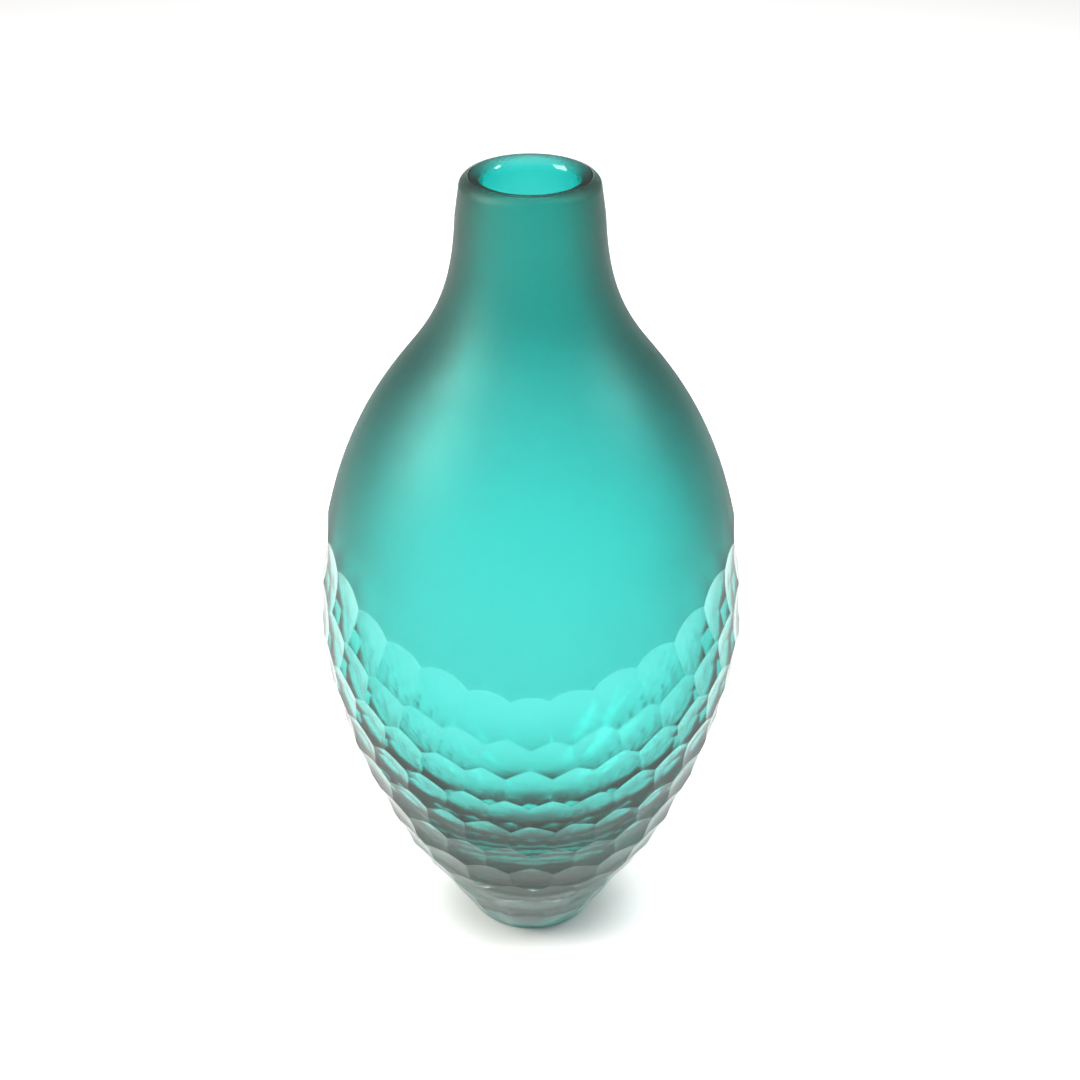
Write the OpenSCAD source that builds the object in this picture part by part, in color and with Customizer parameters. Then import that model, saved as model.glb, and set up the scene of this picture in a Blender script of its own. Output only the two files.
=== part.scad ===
// Cased glass vase: a clear outer casing, wheel cut all over its lower body,
// blown over a teal inner layer that lines the hollow. Millimetres, +Z up,
// with the origin at the centre of the flat base.

/* [Body] */
// Overall height, from the flat base to the top of the lip
height = 305; // [285:1:370]
// Diameter of the flat base
base_d = 45; // [38:0.5:54]
// Diameter at the foot line, where the wall turns in under the lowest cuts
foot_d = 59.8; // [56:0.2:72]
// Height of the foot line
foot_h = 10; // [8:0.5:13]
// Greatest diameter of the belly
belly_d = 159.2; // [130:0.2:192]
// Height of the greatest diameter
belly_z = 129; // [115:1:140]

/* [Neck and lip] */
// Outer diameter where the shoulder turns into the neck
shoulder_d = 83; // [76:1:100]
// Depth of that turn below the lip
shoulder_drop = 63.5; // [55:0.5:76]
// Outer diameter of the neck
neck_d = 53.6; // [50:0.2:60]
// Depth of the neck's straight stretch below the lip
neck_drop = 15; // [12:0.5:18]
// Outer diameter of the lip
lip_d = 50.8; // [48:0.2:58]
// Diameter of the mouth inside the rounded lip
mouth_d = 33; // [28:0.2:36]

/* [Layers] */
// Thickness of the clear casing at the belly
casing_t = 5.4; // [4.4:0.1:7]
// Thickness of the teal layer at the belly
core_t = 2.8; // [1.8:0.1:4]
// Thickness of the clear casing where the shoulder turns into the neck
shoulder_casing_t = 4.7; // [3.9:0.1:5.6]
// Thickness of the teal layer there
shoulder_core_t = 3.5; // [2.8:0.1:4.2]
// Thickness of the clear casing at the neck
neck_casing_t = 3.2; // [2.4:0.1:4.2]
// Thickness of the teal layer at the neck
neck_core_t = 5.2; // [4.2:0.1:6.2]
// Thickness of the clear glass under the teal layer
sole_t = 24; // [18:0.5:30]
// Thickness of the teal layer over the sole
core_sole_t = 5; // [4:0.5:9]

/* [Cutting] */
// Width of one cut, round the body
cut_w = 17; // [13:0.5:22]
// Depth of each flat cut below the blown surface
cut_depth = 1.1; // [0.9:0.05:1.4]
// Rows of cuts, from the foot to the border
cut_rows = 9; // [7:1:11]
// Height of the lowest row's centres
cut_low_z = 17; // [15:0.5:20]
// Height of the top row's centres at the front of the border
cut_high_z = 126.5; // [110:0.5:135]
// Rise of the border at both sides
border_rise = 28; // [0:1:34]
// Further rise of the border at the back
border_back_rise = 8; // [0:1:12]
// How far a hand cut strays from its place
stray = 1.1; // [0:0.1:1.6]
// How far a hand cut tips from the wall, in degrees
tip = 1.2; // [0:0.1:2]

/* [Hidden] */
base_r = base_d / 2;
foot_r = foot_d / 2;
belly_r = belly_d / 2;
lip_r = lip_d / 2;
mouth_r = mouth_d / 2;
lip_round = (lip_r - mouth_r) / 2;
lip_mid = mouth_r + lip_round;
lip_z = height - lip_round;
shoulder = [shoulder_d / 2, height - shoulder_drop];
// The wall's own direction where its curves meet, and the way out of the glass there
shoulder_run = [-0.571, 0.821];
shoulder_out = [0.821, 0.571];
neck = [neck_d / 2, height - neck_drop];
neck_run = [-0.042, 0.999];
foot_run = [0.68, 0.733];
// How far each end of a curve pulls it along its own direction
foot_pull = 41.5;
belly_pull_down = 27;
belly_pull_up = 71;
shoulder_pull = 16;
neck_pull = 23;
bubble_pull = 38;
shoulder_glass_t = shoulder_casing_t + shoulder_core_t;
neck_glass_t = neck_casing_t + neck_core_t;
casing_share = neck_casing_t / neck_glass_t;
seam_lip_r = lip_r - casing_share * (lip_r - mouth_r);
seam_lip_angle = acos((seam_lip_r - lip_mid) / lip_round);
// Rows stand this much closer together at the foot than at the border
row_bias = 1.15;
// Angle round the vase at which the cuts of a row are counted
count_angle = 45;
// Side of a cutting block, more than the widest flat it leaves, and how far it reaches out
block = 36;
block_reach = 12;
// Half the height over which the wall's lean is taken
lean_span = 3;
// Conical steps in one curve of the wall, and degrees in one step of the lip
curve_steps = 14;
lip_step = 12;

// A point at t along the curve that leaves a for b and reaches d from c
function curve_point(a, b, c, d, t) =
    pow(1 - t, 3) * a + 3 * t * pow(1 - t, 2) * b + 3 * t * t * (1 - t) * c + pow(t, 3) * d;

// The whole curve but its last point
function curve(a, b, c, d) =
    [for (i = [0:curve_steps - 1]) curve_point(a, b, c, d, i / curve_steps)];

// The wall above the belly, set in from the blown surface at the belly, shoulder and neck
function upper_wall(wall, shoulder_wall, neck_wall) =
    let (
        belly = [belly_r - wall, belly_z],
        turn = shoulder - shoulder_wall * shoulder_out,
        throat = neck - [neck_wall, 0]
    )
    concat(
        curve(belly, belly + [0, belly_pull_up], turn - shoulder_pull * shoulder_run, turn),
        curve(turn, turn + shoulder_pull * shoulder_run, throat - neck_pull * neck_run, throat)
    );

// The wall below the belly on the outside, from the foot line up
function lower_wall() =
    let (foot = [foot_r, foot_h], belly = [belly_r, belly_z])
    curve(foot, foot + foot_pull * foot_run, belly - [0, belly_pull_down], belly);

// The wall below the belly inside the glass, from the axis up
function lower_bubble(wall, bottom) =
    let (belly = [belly_r - wall, belly_z])
    curve([0, bottom], [bubble_pull, bottom], belly - [0, bubble_pull], belly);

// A point on the rounded lip, from 0 on its outside over 90 on top to 180 in the mouth
function lip_point(angle) = [lip_mid + lip_round * cos(angle), lip_z + lip_round * sin(angle)];

// The rounded lip from one angle up to another, but not its last point
function lip_arc(from, to) =
    let (steps = ceil((to - from) / lip_step))
    [for (i = [0:steps - 1]) lip_point(from + (to - from) * i / steps)];

function reversed(points) = [for (i = [len(points) - 1:-1:0]) points[i]];

outer_points = concat(lower_wall(), upper_wall(0, 0, 0), [neck]);
seam_points = concat(
    lower_bubble(casing_t, sole_t),
    upper_wall(casing_t, shoulder_casing_t, neck_casing_t),
    [neck - [neck_casing_t, 0]]
);
hollow_points = concat(
    lower_bubble(casing_t + core_t, sole_t + core_sole_t),
    upper_wall(casing_t + core_t, shoulder_glass_t, neck_glass_t),
    [neck - [neck_glass_t, 0]]
);

wall_by_height = [for (p = outer_points) [p[1], p[0]]];
function wall_r(z) = lookup(z, wall_by_height);
function wall_lean(z) = atan2(wall_r(z + lean_span) - wall_r(z - lean_span), 2 * lean_span);

// A repeatable number from -1 to 1 for how a hand cut strays: the fraction of a fast sine
function hand(row, place, use) =
    let (s = 43.7585 * sin(127.1 * row + 311.7 * place + 74.7 * use))
    2 * (s - floor(s)) - 1;

// Rise of the border at an angle round the vase, 0 at the front
function rise(angle) =
    border_rise * (1 - cos(2 * angle)) / 2 + border_back_rise * (1 - cos(angle)) / 2;

function cut_z(row, angle) =
    cut_low_z + (cut_high_z + rise(angle) - cut_low_z) * pow(row / (cut_rows - 1), row_bias);

function row_r(row) = wall_r(cut_z(row, count_angle));

function cuts_round(row) = round(2 * PI * row_r(row) / cut_w);

// The blown casing before it is cut
module blank() {
    rotate_extrude($fn = 180)
        polygon(concat(
            [[0, 0], [base_r, 0]],
            outer_points,
            lip_arc(0, 90),
            lip_arc(90, seam_lip_angle),
            [lip_point(seam_lip_angle)],
            reversed(seam_points)
        ));
}

// One flat cut: a block whose inner face lies cut_depth inside the blown surface
module cut(row, place, count) {
    step = 360 / count;
    stray_angle = stray * hand(row, place, 1) / row_r(row) * 180 / PI;
    angle = (place + row / 2) * step + stray_angle;
    z = cut_z(row, angle) + stray * hand(row, place, 2);
    rotate([0, 0, angle - 90])
        translate([wall_r(z), 0, z])
            rotate([tip * hand(row, place, 4), wall_lean(z) + tip * hand(row, place, 3), 0])
                translate([-cut_depth, -block / 2, -block / 2])
                    cube([block_reach, block, block]);
}

module clear_casing() {
    color([0.62, 0.85, 0.84, 0.5])
        difference() {
            blank();
            for (row = [0:cut_rows - 1], place = [0:cuts_round(row) - 1])
                cut(row, place, cuts_round(row));
        }
}

module teal_core() {
    color([0.05, 0.62, 0.58])
        rotate_extrude($fn = 180)
            polygon(concat(
                seam_points,
                lip_arc(seam_lip_angle, 180),
                [lip_point(180)],
                reversed(hollow_points)
            ));
}

clear_casing();
teal_core();
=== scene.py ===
"""The looks of a cased glass vase: a clear satin casing, wheel cut below, fused over a teal lining.

Lengths are in millimetres until a mesh is made, heights run up from the flat base, and angles run round
the vase from its front, which faces -Y, towards +X.
"""

import math

import bmesh
import bpy
import numpy as np
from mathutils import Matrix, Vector


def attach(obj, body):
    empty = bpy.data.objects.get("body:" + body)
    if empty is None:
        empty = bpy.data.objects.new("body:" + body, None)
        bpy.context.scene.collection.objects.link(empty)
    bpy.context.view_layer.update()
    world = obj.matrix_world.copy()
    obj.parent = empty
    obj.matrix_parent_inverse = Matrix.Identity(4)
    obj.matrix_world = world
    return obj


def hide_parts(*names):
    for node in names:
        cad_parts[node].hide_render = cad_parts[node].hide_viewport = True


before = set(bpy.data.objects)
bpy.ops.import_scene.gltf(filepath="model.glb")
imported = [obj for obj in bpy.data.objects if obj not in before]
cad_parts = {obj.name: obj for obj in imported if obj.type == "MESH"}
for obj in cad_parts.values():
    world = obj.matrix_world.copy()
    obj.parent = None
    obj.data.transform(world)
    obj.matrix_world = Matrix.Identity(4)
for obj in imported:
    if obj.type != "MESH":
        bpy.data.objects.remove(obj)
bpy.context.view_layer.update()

MM = 0.001

# ---------------------------------------------------------------- sizes of the vase

HEIGHT = 305.0
BASE_R = 22.5
FOOT_R, FOOT_H = 29.9, 10.0
BELLY_R, BELLY_Z = 79.6, 129.0
SHOULDER = np.array([41.5, HEIGHT - 63.5])
NECK = np.array([26.8, HEIGHT - 15.0])
LIP_R, MOUTH_R = 25.4, 16.5
CASING_T, CORE_T = 5.4, 2.8
SHOULDER_CASING_T, SHOULDER_CORE_T = 4.7, 3.5
NECK_CASING_T, NECK_CORE_T = 3.2, 5.2
SOLE_T, CORE_SOLE_T = 24.0, 5.0

LIP_ROUND = (LIP_R - MOUTH_R) / 2
LIP_MID = MOUTH_R + LIP_ROUND
LIP_Z = HEIGHT - LIP_ROUND
SEAM_LIP_R = LIP_R - NECK_CASING_T / (NECK_CASING_T + NECK_CORE_T) * (LIP_R - MOUTH_R)
SEAM_LIP_ANGLE = math.acos((SEAM_LIP_R - LIP_MID) / LIP_ROUND)

SHOULDER_RUN = np.array([-0.571, 0.821])
SHOULDER_OUT = np.array([0.821, 0.571])
NECK_RUN = np.array([-0.042, 0.999])
FOOT_RUN = np.array([0.68, 0.733])
UP = np.array([0.0, 1.0])
# How far each end of a curve pulls it along its own direction
FOOT_PULL, BELLY_PULL_DOWN, BELLY_PULL_UP = 41.5, 27, 71
SHOULDER_PULL, NECK_PULL, BUBBLE_PULL = 16, 23, 38
# Rings of the mesh in one curve, in the lip's two shares, and up the smooth wall from the border
CURVE_STEPS = 24
CASING_LIP_STEPS, LINING_LIP_STEPS = 14, 12
BORDER_SHARES = (0, 0.004, 0.015)
WALL_SHARES = np.linspace(0.035, 1, 48)
LINING_SIDES = 240
# Rings of the base, as radii, then of the edge and the foot's wall, as the share of the way up to the
# lowest ridges, and how far in and up from the base's edge the ring starts
BASE_RINGS = (0, 0.5 * BASE_R, BASE_R - 0.8)
FOOT_RINGS = ((0.0, 0.25, 0.25), (0.12, 0.0, 0.0), (0.93, 0.0, 0.0), (1.0, 0.0, 0.0))

# ---------------------------------------------------------------- the wheel cuts

CUT_W = 17.0
CUT_ROWS = 9
CUT_LOW_Z, CUT_HIGH_Z = 17.0, 126.5
BORDER_RISE, BORDER_BACK_RISE = 28.0, 8.0
ROW_BIAS = 1.15
STRAY = 1.1
# A scoop's depth in its middle, and the radius at which it runs out of a smooth wall
SCOOP_DEPTH = 2.1
SCOOP_REACH = 14.3
# How much a scoop's reach varies
REACH_STRAY = 0.035
# Angle round the vase at which the cuts of a row are counted
COUNT_ANGLE = math.pi / 4
# Half the side of the square from which a scoop's outline is clipped, and how far off a neighbour can be
OUTLINE_HALF, NEIGHBOUR_SPAN = 0.8, 1.2
# Longest edge of the mesh along a ridge
RIDGE_STEP = 1.1
# Rings from the middle of a scoop to its ridge
SCOOP_RINGS = (0.2, 0.4, 0.58, 0.74, 0.87, 0.96, 1.0)
# Points nearer than this are one
WELD = 0.0005
# A smaller difference in angle or height is none, and a side this little over a step takes no more steps
NEAR = 1e-9
STEP_SLACK = 1e-6
# Zones of a surface
SMOOTH, CUT, FUSED = "smooth", "cut", "fused"


# ---------------------------------------------------------------- profiles


def curve(a, b, c, d):
    """Points along the curve that leaves a for b and reaches d from c, but not d itself."""
    t = np.linspace(0, 1, CURVE_STEPS, endpoint=False)[:, None]
    a, b, c, d = (np.asarray(p, float) for p in (a, b, c, d))
    return (1 - t) ** 3 * a + 3 * t * (1 - t) ** 2 * b + 3 * t * t * (1 - t) * c + t**3 * d


def upper_wall(wall, shoulder_wall, neck_wall):
    """The wall above the belly, set in from the blown surface, up to the straight of the neck."""
    belly = np.array([BELLY_R - wall, BELLY_Z])
    turn = SHOULDER - shoulder_wall * SHOULDER_OUT
    throat = NECK - np.array([neck_wall, 0])
    return np.vstack(
        [
            curve(belly, belly + BELLY_PULL_UP * UP, turn - SHOULDER_PULL * SHOULDER_RUN, turn),
            curve(turn, turn + SHOULDER_PULL * SHOULDER_RUN, throat - NECK_PULL * NECK_RUN, throat),
            [throat],
        ]
    )


def lower_wall():
    """The blown surface below the belly, from the foot line up."""
    foot = np.array([FOOT_R, FOOT_H])
    belly = np.array([BELLY_R, BELLY_Z])
    return curve(foot, foot + FOOT_PULL * FOOT_RUN, belly - BELLY_PULL_DOWN * UP, belly)


def bubble(bottom, wall, shoulder_wall, neck_wall):
    """A blown surface inside the glass, from the axis up to the neck."""
    belly = np.array([BELLY_R - wall, BELLY_Z])
    below = curve([0, bottom], [BUBBLE_PULL, bottom], belly - BUBBLE_PULL * UP, belly)
    return np.vstack([below, upper_wall(wall, shoulder_wall, neck_wall)])


def seam():
    """Where the clear casing meets the teal lining."""
    return bubble(SOLE_T, CASING_T, SHOULDER_CASING_T, NECK_CASING_T)


def hollow():
    """The inside of the lining."""
    return bubble(
        SOLE_T + CORE_SOLE_T,
        CASING_T + CORE_T,
        SHOULDER_CASING_T + SHOULDER_CORE_T,
        NECK_CASING_T + NECK_CORE_T,
    )


def lip_arc(start, end, steps):
    """The rounded lip from one angle to another: 0 on its outside, a half turn in the mouth."""
    angle = np.linspace(start, end, steps + 1)
    r = LIP_MID + LIP_ROUND * np.cos(angle)
    z = LIP_Z + LIP_ROUND * np.sin(angle)
    return np.stack([r, z], 1)


class Wall:
    """The blown outer surface, with a coordinate up it in which a scoop keeps its shape."""

    def __init__(self, points):
        self.r, self.z = points[:, 0], points[:, 1]
        step = np.hypot(np.diff(self.r), np.diff(self.z))
        middle = (self.r[1:] + self.r[:-1]) / 2
        self.w = np.concatenate([[0], np.cumsum(step / middle)])
        run = np.gradient(points, axis=0)
        run /= np.hypot(run[:, 0], run[:, 1])[:, None]
        self.out_r, self.out_z = run[:, 1], -run[:, 0]

    def w_at(self, z):
        return float(np.interp(z, self.z, self.w))

    def r_at_z(self, z):
        return float(np.interp(z, self.z, self.r))

    def r_at(self, w):
        return float(np.interp(w, self.w, self.r))

    def point(self, angle, w, depth):
        """A point that lies that deep under the surface, in metres."""
        r = np.interp(w, self.w, self.r) - depth * np.interp(w, self.w, self.out_r)
        z = np.interp(w, self.w, self.z) - depth * np.interp(w, self.w, self.out_z)
        return (r * math.sin(angle) * MM, -r * math.cos(angle) * MM, z * MM)


# ---------------------------------------------------------------- where the scoops lie


def hand(row, place, use):
    """A repeatable number from -1 to 1, for how a hand cut strays."""
    s = 43.7585 * math.sin(math.radians(127.1 * row + 311.7 * place + 74.7 * use))
    return 2 * (s - math.floor(s)) - 1


def border_rise(angle):
    """How much higher the border stands at an angle round the vase than at the front."""
    sides = BORDER_RISE * (1 - math.cos(2 * angle)) / 2
    return sides + BORDER_BACK_RISE * (1 - math.cos(angle)) / 2


def cut_z(row, angle):
    """The height of a row's middles at an angle round the vase."""
    share = (row / (CUT_ROWS - 1)) ** ROW_BIAS
    return CUT_LOW_Z + (CUT_HIGH_Z + border_rise(angle) - CUT_LOW_Z) * share


def scoops(wall):
    """Every scoop's middle and reach on the wall, as (angle, w, reach squared, row)."""
    found = []
    for row in range(CUT_ROWS):
        r = wall.r_at_z(cut_z(row, COUNT_ANGLE))
        count = round(2 * math.pi * r / CUT_W)
        for place in range(count):
            angle = (place + row / 2) * 2 * math.pi / count + STRAY * hand(row, place, 1) / r
            z = cut_z(row, angle) + STRAY * hand(row, place, 2)
            reach = SCOOP_REACH * (1 + REACH_STRAY * hand(row, place, 3)) / wall.r_at_z(z)
            found.append((angle % (2 * math.pi), wall.w_at(z), reach**2, row))
    return found


def clip(loop, normal, limit):
    """The part of a convex loop of points where normal . p <= limit."""
    kept = []
    for p, q in zip(loop, loop[1:] + loop[:1]):
        a = limit - normal[0] * p[0] - normal[1] * p[1]
        b = limit - normal[0] * q[0] - normal[1] * q[1]
        if a >= 0:
            kept.append(p)
        if (a < 0) != (b < 0):
            t = a / (a - b)
            kept.append((p[0] + t * (q[0] - p[0]), p[1] + t * (q[1] - p[1])))
    return kept


def scoop_outline(index, cuts, low):
    """The ridge round one scoop, as offsets from its middle, where its neighbours' scoops meet it."""
    angle, w, reach, _ = cuts[index]
    h = OUTLINE_HALF
    loop = [(-h, -h), (h, -h), (h, h), (-h, h)]
    for other, (angle2, w2, reach2, _) in enumerate(cuts):
        du = (angle2 - angle + math.pi) % (2 * math.pi) - math.pi
        dw = w2 - w
        if other != index and abs(du) < NEIGHBOUR_SPAN and abs(dw) < NEIGHBOUR_SPAN:
            loop = clip(loop, (du, dw), (du * du + dw * dw + reach - reach2) / 2)
    return clip(loop, (0, -1), w - low)


def run_out(p, q, reach):
    """Where the line from p to q crosses the circle at which a scoop runs out of the smooth wall."""
    dx, dy = q[0] - p[0], q[1] - p[1]
    a = dx * dx + dy * dy
    b = p[0] * dx + p[1] * dy
    c = p[0] ** 2 + p[1] ** 2 - reach
    root = b * b - a * c
    if root <= 0:
        return []
    ends = [(-b - math.sqrt(root)) / a, (-b + math.sqrt(root)) / a]
    return [(p[0] + t * dx, p[1] + t * dy) for t in ends if 0 < t < 1]


# ---------------------------------------------------------------- meshes


def ring_point(angle, r, z):
    """A point at an angle round the vase, in metres."""
    return (r * math.sin(angle) * MM, -r * math.cos(angle) * MM, z * MM)


class Shell:
    """Vertices and faces of one closed piece of glass, built up zone by zone."""

    def __init__(self):
        self.points, self.faces, self.zones = [], [], []

    def add(self, points):
        """Adds a row of points and returns its vertices."""
        first = len(self.points)
        self.points.extend(points)
        return list(range(first, len(self.points)))

    def bridge(self, lower, upper, zone):
        """Faces between two rows round the vase, facing out if upper lies above lower."""
        for i in range(len(lower)):
            j = (i + 1) % len(lower)
            self.faces.append((lower[i], lower[j], upper[j], upper[i]))
            self.zones.append(zone)

    def turn(self, outline, angles, zone):
        """Turns an outline of (r, z) round the axis. Faces look to the right of the way it runs."""
        rows = [self.add([ring_point(a, r, z) for a in angles]) for r, z in outline]
        for lower, upper in zip(rows, rows[1:]):
            self.bridge(lower, upper, zone)

    def piece(self, name, glass):
        """The finished object: rows that meet are welded, and faces with no area drop out."""
        mesh = bpy.data.meshes.new(name)
        mesh.from_pydata(self.points, [], self.faces)
        mesh.materials.append(glass)
        for wanted in (CUT, FUSED):
            mask = mesh.attributes.new(wanted, "FLOAT", "FACE")
            mask.data.foreach_set("value", [float(zone == wanted) for zone in self.zones])
        mesh.polygons.foreach_set("use_smooth", [True] * len(self.faces))
        shape = bmesh.new()
        shape.from_mesh(mesh)
        bmesh.ops.remove_doubles(shape, verts=shape.verts, dist=WELD * MM)
        bmesh.ops.dissolve_degenerate(shape, edges=shape.edges, dist=WELD * MM)
        shape.to_mesh(mesh)
        shape.free()
        piece = bpy.data.objects.new(name, mesh)
        bpy.context.scene.collection.objects.link(piece)
        return piece


def between(p, q, length):
    """Points from p towards q, but not q, no further apart than the ridge step."""
    steps = max(1, math.ceil(length / RIDGE_STEP - STEP_SLACK))
    dx, dy = q[0] - p[0], q[1] - p[1]
    return [(p[0] + dx * i / steps, p[1] + dy * i / steps) for i in range(steps)]


def scalloped(outline, reach, scale):
    """A border scoop's outline, cut off by the arc along which it runs out of the smooth wall.

    Returns the points and, for each, whether it lies on that arc.
    """
    points, on_arc = [], []
    sides = list(zip(outline, outline[1:] + outline[:1]))
    crossings = [run_out(p, q, reach) for p, q in sides]
    bearings = [math.atan2(c[1], c[0]) for found in crossings for c in found]
    for (p, q), found in zip(sides, crossings):
        starts_in = p[0] ** 2 + p[1] ** 2 <= reach
        ends_in = q[0] ** 2 + q[1] ** 2 <= reach
        if not starts_in and len(found) < 2 - ends_in:
            continue
        start = p if starts_in else found[0]
        end = q if ends_in else found[-1]
        line = between(start, end, math.dist(start, end) * scale)
        points += line
        on_arc += [False] * len(line)
        if not ends_in:
            leaves = math.atan2(end[1], end[0])
            turn = min(t for b in bearings if (t := (b - leaves) % (2 * math.pi)) > NEAR)
            steps = max(2, math.ceil(turn * math.sqrt(reach) * scale / RIDGE_STEP))
            for i in range(steps):
                at = leaves + turn * i / steps
                points.append((math.sqrt(reach) * math.cos(at), math.sqrt(reach) * math.sin(at)))
                on_arc.append(True)
    return points, on_arc


def cut_zone(shell, wall):
    """Adds every scoop. Returns the border as {angle: w} and the foot line as {angle: point}."""
    cuts = scoops(wall)
    low = wall.w_at(FOOT_H)
    border, foot = {}, {}
    steepness = SCOOP_DEPTH / SCOOP_REACH**2
    for index, (angle, w, reach, row) in enumerate(cuts):
        outline = scoop_outline(index, cuts, low)
        scale = wall.r_at(w)
        if row == CUT_ROWS - 1:
            ring, on_arc = scalloped(outline, reach, scale)
        else:
            sides = zip(outline, outline[1:] + outline[:1])
            ring = [point for p, q in sides for point in between(p, q, math.dist(p, q) * scale)]
            on_arc = [False] * len(ring)
        edge = [max(0.0, steepness * wall.r_at(w + v) ** 2 * (reach - u * u - v * v)) for u, v in ring]
        middle = steepness * scale**2 * reach
        rows = []
        for share in SCOOP_RINGS:
            depths = [middle + (deep - middle) * share**2 for deep in edge]
            places = [(angle + u * share, w + v * share) for u, v in ring]
            rows.append(shell.add([wall.point(a, h, d) for (a, h), d in zip(places, depths)]))
        for inner, outer in zip(rows, rows[1:]):
            shell.bridge(outer, inner, CUT)
        (centre,) = shell.add([wall.point(angle, w, middle)])
        shell.bridge(rows[0], [centre] * len(ring), CUT)
        for (u, v), arc, vertex in zip(ring, on_arc, rows[-1]):
            at = (angle + u) % (2 * math.pi)
            if arc:
                border[at] = w + v
            if abs(w + v - low) < NEAR:
                foot[round(at, 7)] = shell.points[vertex]
    return border, foot


def foot_rows(shell, foot):
    """Rows from the middle of the base over its eased edge up the foot's wall to the lowest ridges."""
    angles = sorted(foot)
    rows = [shell.add([ring_point(a, r, 0) for a in angles]) for r in BASE_RINGS]
    for share, inset, lift in FOOT_RINGS:
        row = []
        for a in angles:
            edge = ring_point(a, BASE_R - inset, lift)
            row.append(tuple(p * (1 - share) + q * share for p, q in zip(edge, foot[a])))
        rows.append(shell.add(row))
    return rows


def casing(glass):
    """The clear casing: foot, scoops, smooth wall, its share of the lip, and the seam inside."""
    shell = Shell()
    wall = Wall(np.vstack([lower_wall(), upper_wall(0, 0, 0)]))
    border, foot = cut_zone(shell, wall)
    angles = sorted(border)
    top = wall.w[-1]
    rows = [
        shell.add([wall.point(a, border[a] + (top - border[a]) * share, 0) for a in angles])
        for share in (*BORDER_SHARES, *WALL_SHARES)
    ]
    for lower, upper in zip(rows, rows[1:]):
        shell.bridge(lower, upper, SMOOTH)
    lip = lip_arc(0, SEAM_LIP_ANGLE, CASING_LIP_STEPS)
    shell.turn(np.vstack([[NECK], lip]), angles, SMOOTH)
    shell.turn(np.vstack([lip[-1:], seam()[::-1]]), angles, FUSED)
    rows = foot_rows(shell, foot)
    for lower, upper in zip(rows, rows[1:]):
        shell.bridge(lower, upper, CUT)
    return shell.piece("clear_casing_glass", glass)


def lining(glass):
    """The teal lining: the seam outside, its share of the lip, and the hollow."""
    shell = Shell()
    angles = np.linspace(0, 2 * math.pi, LINING_SIDES, endpoint=False)
    lip = lip_arc(SEAM_LIP_ANGLE, math.pi, LINING_LIP_STEPS)
    shell.turn(np.vstack([seam(), lip[:1]]), angles, FUSED)
    shell.turn(np.vstack([lip, hollow()[::-1]]), angles, SMOOTH)
    return shell.piece("teal_lining_glass", glass)


# ---------------------------------------------------------------- materials


class Value:
    """A number that changes over a surface. Arithmetic on it adds Math nodes."""

    def __init__(self, recipe, socket):
        self.recipe, self.socket = recipe, socket

    def math(self, operation, a, b):
        node = self.recipe.node("ShaderNodeMath", {"operation": operation}, {0: a, 1: b})
        return Value(self.recipe, node.outputs[0])

    def __add__(self, other):
        return self.math("ADD", self, other)

    def __sub__(self, other):
        return self.math("SUBTRACT", self, other)

    def __rsub__(self, other):
        return self.math("SUBTRACT", other, self)

    def __mul__(self, other):
        return self.math("MULTIPLY", self, other)

    def __pow__(self, other):
        return self.math("POWER", self, other)

    __radd__ = __add__
    __rmul__ = __mul__


class Recipe:
    """A material's node tree, or the world's, with its output ready to take a shader."""

    def __init__(self, owner, output):
        owner.use_nodes = True
        self.tree = owner.node_tree
        self.tree.nodes.clear()
        self.output = self.tree.nodes.new(output)

    def node(self, kind, settings=None, inputs=None):
        """Makes a node: its settings first, then the values or links of its sockets."""
        made = self.tree.nodes.new(kind)
        for name, setting in (settings or {}).items():
            setattr(made, name, setting)
        for name, value in (inputs or {}).items():
            self.feed(made.inputs[name], value)
        return made

    def feed(self, socket, value):
        if isinstance(value, Value):
            value = value.socket
        if isinstance(value, bpy.types.NodeSocket):
            self.tree.links.new(value, socket)
        else:
            socket.default_value = value

    def value(self, kind, settings=None, inputs=None, output=0):
        """An output of a new node, ready for arithmetic."""
        return Value(self, self.node(kind, settings, inputs).outputs[output])

    def finish(self, **shaders):
        for name, shader in shaders.items():
            self.feed(self.output.inputs[name], shader.outputs[0])


def material(name):
    made = bpy.data.materials.new(name)
    return made, Recipe(made, "ShaderNodeOutputMaterial")


# Absorption of the two glasses: the further a tint is from white, and the denser, the more is lost
CASING_TINT, CASING_DENSITY = (0.92, 0.945, 0.938, 1), 100.0
TEAL_TINT, TEAL_DENSITY = (0.1, 0.85, 0.826, 1), 640.0
GLASS_IOR = 1.5
# Roughness of each finish, and how much its texture moves it
SATIN_ROUGHNESS, SATIN_CLOUDING, SATIN_SPECKLE = 0.55, 0.12, 0.06
CUT_ROUGHNESS, CUT_STREAKING = 0.15, 0.12
POLISHED_ROUGHNESS, POLISHED_CLOUDING = 0.03, 0.03
# Sizes of the textures, as details in a metre
GRAIN_SCALE, CLOUD_SCALE, STREAK_SCALE, RIPPLE_SCALE = 2600.0, 55.0, 1500.0, 60.0
# A streak is this much longer than wide, on a cylinder of this radius
STREAK_LENGTH, STREAK_RADIUS = 14.0, 0.07
# Heights of the relief of each texture, in metres
GRAIN_RELIEF, STREAK_RELIEF, RIPPLE_RELIEF = 0.000004, 0.000005, 0.00002


def noise(recipe, place, scale, detail=2.0):
    """A noise texture, from 0 to 1."""
    inputs = {"Vector": place, "Scale": scale, "Detail": detail}
    return recipe.value("ShaderNodeTexNoise", {}, inputs)


def vector_math(recipe, operation, *inputs, output=0):
    """Arithmetic on vectors."""
    return recipe.value("ShaderNodeVectorMath", {"operation": operation}, dict(enumerate(inputs)), output)


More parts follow.
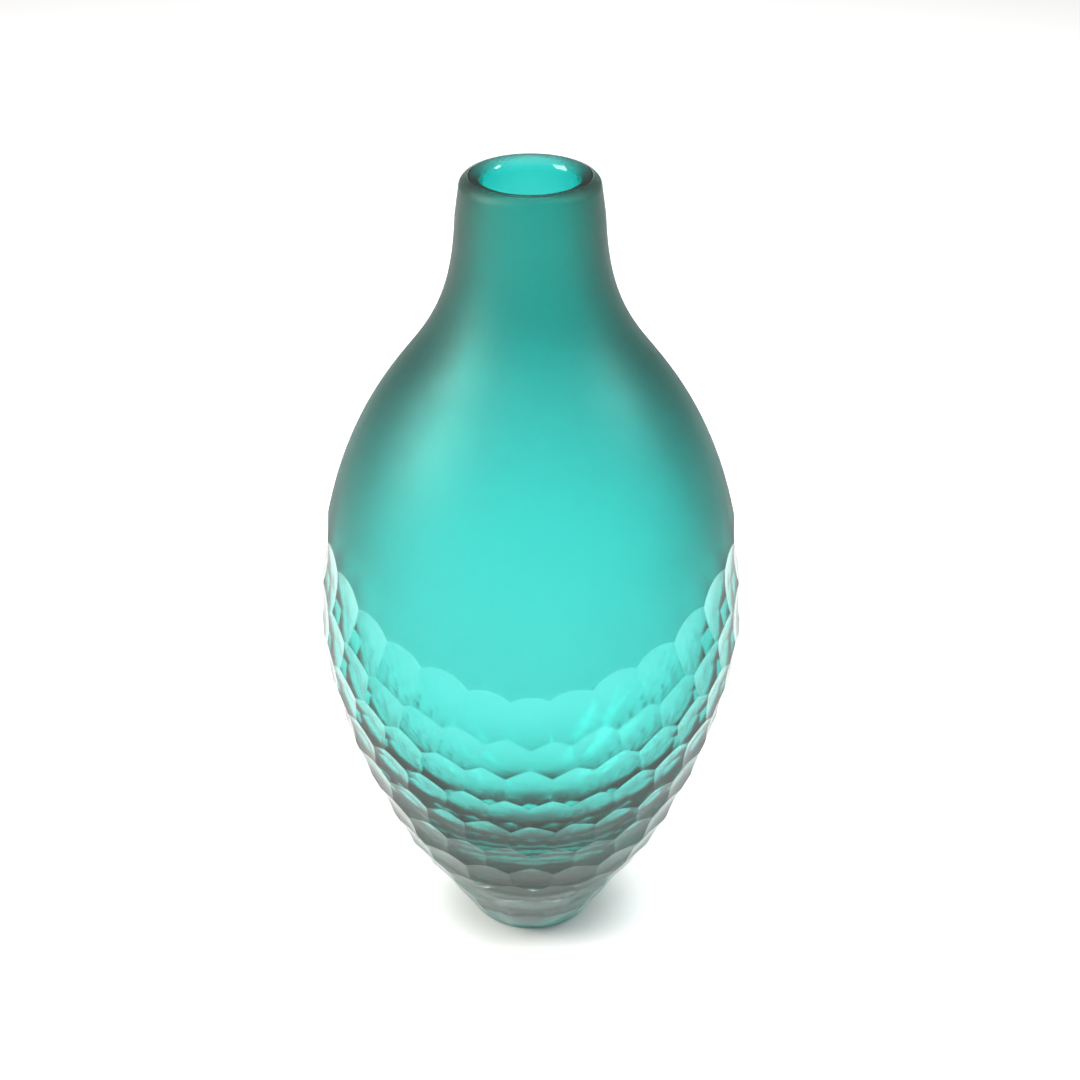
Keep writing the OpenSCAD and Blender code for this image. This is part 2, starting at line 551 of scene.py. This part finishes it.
def ramp(recipe, value, start, end, low, high, blend="SMOOTHSTEP"):
    """A value that goes from low to high as another goes from start to end."""
    inputs = {"Value": value, 1: start, 2: end, 3: low, 4: high}
    return recipe.value("ShaderNodeMapRange", {"interpolation_type": blend}, inputs)


def glass_piece(recipe, roughness, relief, tint, density):
    """Glass with its colour in its depth. Where it is fused to its neighbour nothing bends or glints."""
    normal = recipe.node("ShaderNodeBump", {}, {"Strength": 1.0, "Distance": 1.0, "Height": relief})
    surface = recipe.node(
        "ShaderNodeBsdfPrincipled",
        {},
        {
            "Base Color": (1, 1, 1, 1),
            "Roughness": roughness,
            "IOR": GLASS_IOR,
            "Transmission Weight": 1.0,
            "Normal": normal.outputs[0],
        },
    )
    clear = recipe.node("ShaderNodeBsdfTransparent", {}, {"Color": (1, 1, 1, 1)})
    fused = recipe.value("ShaderNodeAttribute", {"attribute_name": FUSED}, {}, "Fac")
    both = recipe.node("ShaderNodeMixShader", {}, {0: fused, 1: surface.outputs[0], 2: clear.outputs[0]})
    depth = recipe.node("ShaderNodeVolumeAbsorption", {}, {"Color": tint, "Density": density})
    recipe.finish(Surface=both, Volume=depth)


def satin_and_cut_glass():
    """Clear glass: acid satin with a fine grain, and below the border ground in streaks down the wall."""
    made, recipe = material("satin_and_cut_glass")
    place = recipe.node("ShaderNodeTexCoord").outputs["Object"]
    sideways = vector_math(recipe, "MULTIPLY", place, (1, 1, 0))
    around = vector_math(recipe, "NORMALIZE", sideways)
    down = vector_math(recipe, "MULTIPLY", place, (0, 0, 1 / STREAK_LENGTH))
    along = vector_math(recipe, "MULTIPLY_ADD", around, (STREAK_RADIUS,) * 3, down)
    cut = recipe.value("ShaderNodeAttribute", {"attribute_name": CUT}, {}, "Fac")
    grain = noise(recipe, place, GRAIN_SCALE)
    cloud = noise(recipe, place, CLOUD_SCALE)
    streak = noise(recipe, along, STREAK_SCALE)
    satin = SATIN_ROUGHNESS + SATIN_CLOUDING * (cloud - 0.5) + SATIN_SPECKLE * (grain - 0.5)
    ground = CUT_ROUGHNESS + CUT_STREAKING * (streak - 0.5)
    roughness = satin + (ground - satin) * cut
    relief = GRAIN_RELIEF * grain * (1 - cut) + STREAK_RELIEF * streak * cut
    glass_piece(recipe, roughness, relief, CASING_TINT, CASING_DENSITY)
    return made


def polished_teal_glass():
    """The lining: fire polished inside, with the slow ripple of blown glass."""
    made, recipe = material("polished_teal_glass")
    place = recipe.node("ShaderNodeTexCoord").outputs["Object"]
    ripple = noise(recipe, place, RIPPLE_SCALE, 1.0)
    roughness = POLISHED_ROUGHNESS + POLISHED_CLOUDING * ripple
    glass_piece(recipe, roughness, RIPPLE_RELIEF * ripple, TEAL_TINT, TEAL_DENSITY)
    return made


def pale_floor():
    """White, with a painted pool of light glowing behind the vase and a painted shadow under its foot."""
    made, recipe = material("pale_floor")
    place = recipe.node("ShaderNodeTexCoord").outputs["Object"]
    away = vector_math(recipe, "DISTANCE", place, (0, GLOW_Y, 0), output="Value")
    from_foot = vector_math(recipe, "LENGTH", place, output="Value")
    # Painted pool of light: the glow is strongest behind the vase and fades outwards
    share = ramp(recipe, away, GLOW_NEAR, GLOW_FAR, 1.0, GLOW_EDGE)
    # Painted shadow: the glow falls away to nothing under the foot
    share = share * ramp(recipe, from_foot, SHADE_NEAR, SHADE_FAR, 0.0, 1.0)
    glow = recipe.node("ShaderNodeCombineColor", {}, {0: share, 1: share, 2: share})
    surface = recipe.node(
        "ShaderNodeBsdfPrincipled",
        {},
        {
            "Base Color": FLOOR_COLOR,
            "Roughness": FLOOR_ROUGHNESS,
            "Specular IOR Level": FLOOR_SPECULAR,
            "Emission Color": glow.outputs[0],
            "Emission Strength": FLOOR_GLOW,
        },
    )
    recipe.finish(Surface=surface)
    return made


# ---------------------------------------------------------------- the vase


casing_piece = casing(satin_and_cut_glass())
lining_piece = lining(polished_teal_glass())
for piece, node, slot_name in (
    (casing_piece, "clear_casing", "clear_glass"),
    (lining_piece, "teal_core", "teal_glass"),
):
    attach(piece, "root")
    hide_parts(node)

# ---------------------------------------------------------------- floor, light and camera

FLOOR_HALF = 4.0
# The floor lies this far under the base, so that no light slips in between
FLOOR_GAP = 0.0003
FLOOR_COLOR, FLOOR_ROUGHNESS, FLOOR_SPECULAR = (0.85, 0.85, 0.85, 1), 0.8, 0.1
# The floor's glow is painted light: a pool centred behind the vase, which falls to a share of itself from
# near to far
FLOOR_GLOW = 0.55
GLOW_Y, GLOW_NEAR, GLOW_FAR, GLOW_EDGE = 0.3, 0.5, 1.2, 0.2
# Painted shadow under the foot: no glow comes from there, it starts this far out
SHADE_NEAR, SHADE_FAR = 0.022, 0.05
# The room's light, at the horizon and overhead, and how steeply it rises between them
ROOM_LOW, ROOM_TOP, ROOM_RISE = 0.12, 1.2, 1.8
# Softboxes: name, place, size, power and colour
LIGHTS = (
    ("left_softbox", (-1.1, -0.2, 0.85), (0.7, 0.7), 17, (1.0, 0.96, 0.88)),
    ("right_softbox", (1.0, 0.0, 0.95), (0.3, 0.45), 5, (1.0, 1.0, 1.0)),
)
LIGHT_TARGET = (0, 0, 0.15)
# The camera looks down from the front: its tilt, and the distance, height and x of what it looks at
SENSOR, LENS = 36.0, 93.3
CLIP_NEAR, CLIP_FAR = 0.05, 20
CAMERA_TILT = math.radians(27.7)
CAMERA_DISTANCE, CAMERA_AIM, CAMERA_X = 1.046, 0.1606, 0.0034
# Light crosses many surfaces on its way through thick cut glass
BOUNCES, GLOSSY_BOUNCES, GLASS_BOUNCES, CLEAR_BOUNCES = 40, 24, 32, 64


def floor():
    """The floor, big enough to fill every view of the vase from above."""
    mesh = bpy.data.meshes.new("floor")
    h = FLOOR_HALF
    z = -FLOOR_GAP
    mesh.from_pydata([(-h, -h, z), (h, -h, z), (h, h, z), (-h, h, z)], [], [(0, 1, 2, 3)])
    mesh.materials.append(pale_floor())
    made = bpy.data.objects.new("floor", mesh)
    bpy.context.scene.collection.objects.link(made)


def softbox(name, place, size, power, color):
    data = bpy.data.lights.new(name, "AREA")
    data.shape = "RECTANGLE"
    data.size, data.size_y = size
    data.energy = power
    data.color = color
    lamp = bpy.data.objects.new(name, data)
    lamp.location = place
    aim = Vector(LIGHT_TARGET) - Vector(place)
    lamp.rotation_euler = aim.to_track_quat("-Z", "Y").to_euler()
    bpy.context.scene.collection.objects.link(lamp)


def surroundings():
    """A white room whose light comes mostly from above."""
    world = bpy.data.worlds.new("white_room")
    bpy.context.scene.world = world
    recipe = Recipe(world, "ShaderNodeOutputWorld")
    aim = recipe.node("ShaderNodeTexCoord").outputs["Generated"]
    height = recipe.value("ShaderNodeSeparateXYZ", {}, {0: aim}, "Z")
    above = ramp(recipe, height, 0.0, 1.0, 0.0, 1.0, "LINEAR")
    strength = ROOM_LOW + (ROOM_TOP - ROOM_LOW) * above**ROOM_RISE
    light = recipe.node("ShaderNodeBackground", {}, {"Color": (1, 1, 1, 1), "Strength": strength})
    recipe.finish(Surface=light)


def camera():
    data = bpy.data.cameras.new("camera")
    data.sensor_width = SENSOR
    data.lens = LENS
    data.clip_start, data.clip_end = CLIP_NEAR, CLIP_FAR
    made = bpy.data.objects.new("camera", data)
    back = CAMERA_DISTANCE * math.cos(CAMERA_TILT)
    rise = CAMERA_DISTANCE * math.sin(CAMERA_TILT)
    made.location = (CAMERA_X, -back, CAMERA_AIM + rise)
    made.rotation_euler = (math.pi / 2 - CAMERA_TILT, 0, 0)
    bpy.context.scene.collection.objects.link(made)
    bpy.context.scene.camera = made


floor()
surroundings()
for light in LIGHTS:
    softbox(*light)
camera()
bpy.context.scene.view_settings.view_transform = "Standard"

paths = bpy.context.scene.cycles
paths.max_bounces = BOUNCES
paths.glossy_bounces = GLOSSY_BOUNCES
paths.transmission_bounces = GLASS_BOUNCES
paths.transparent_max_bounces = CLEAR_BOUNCES
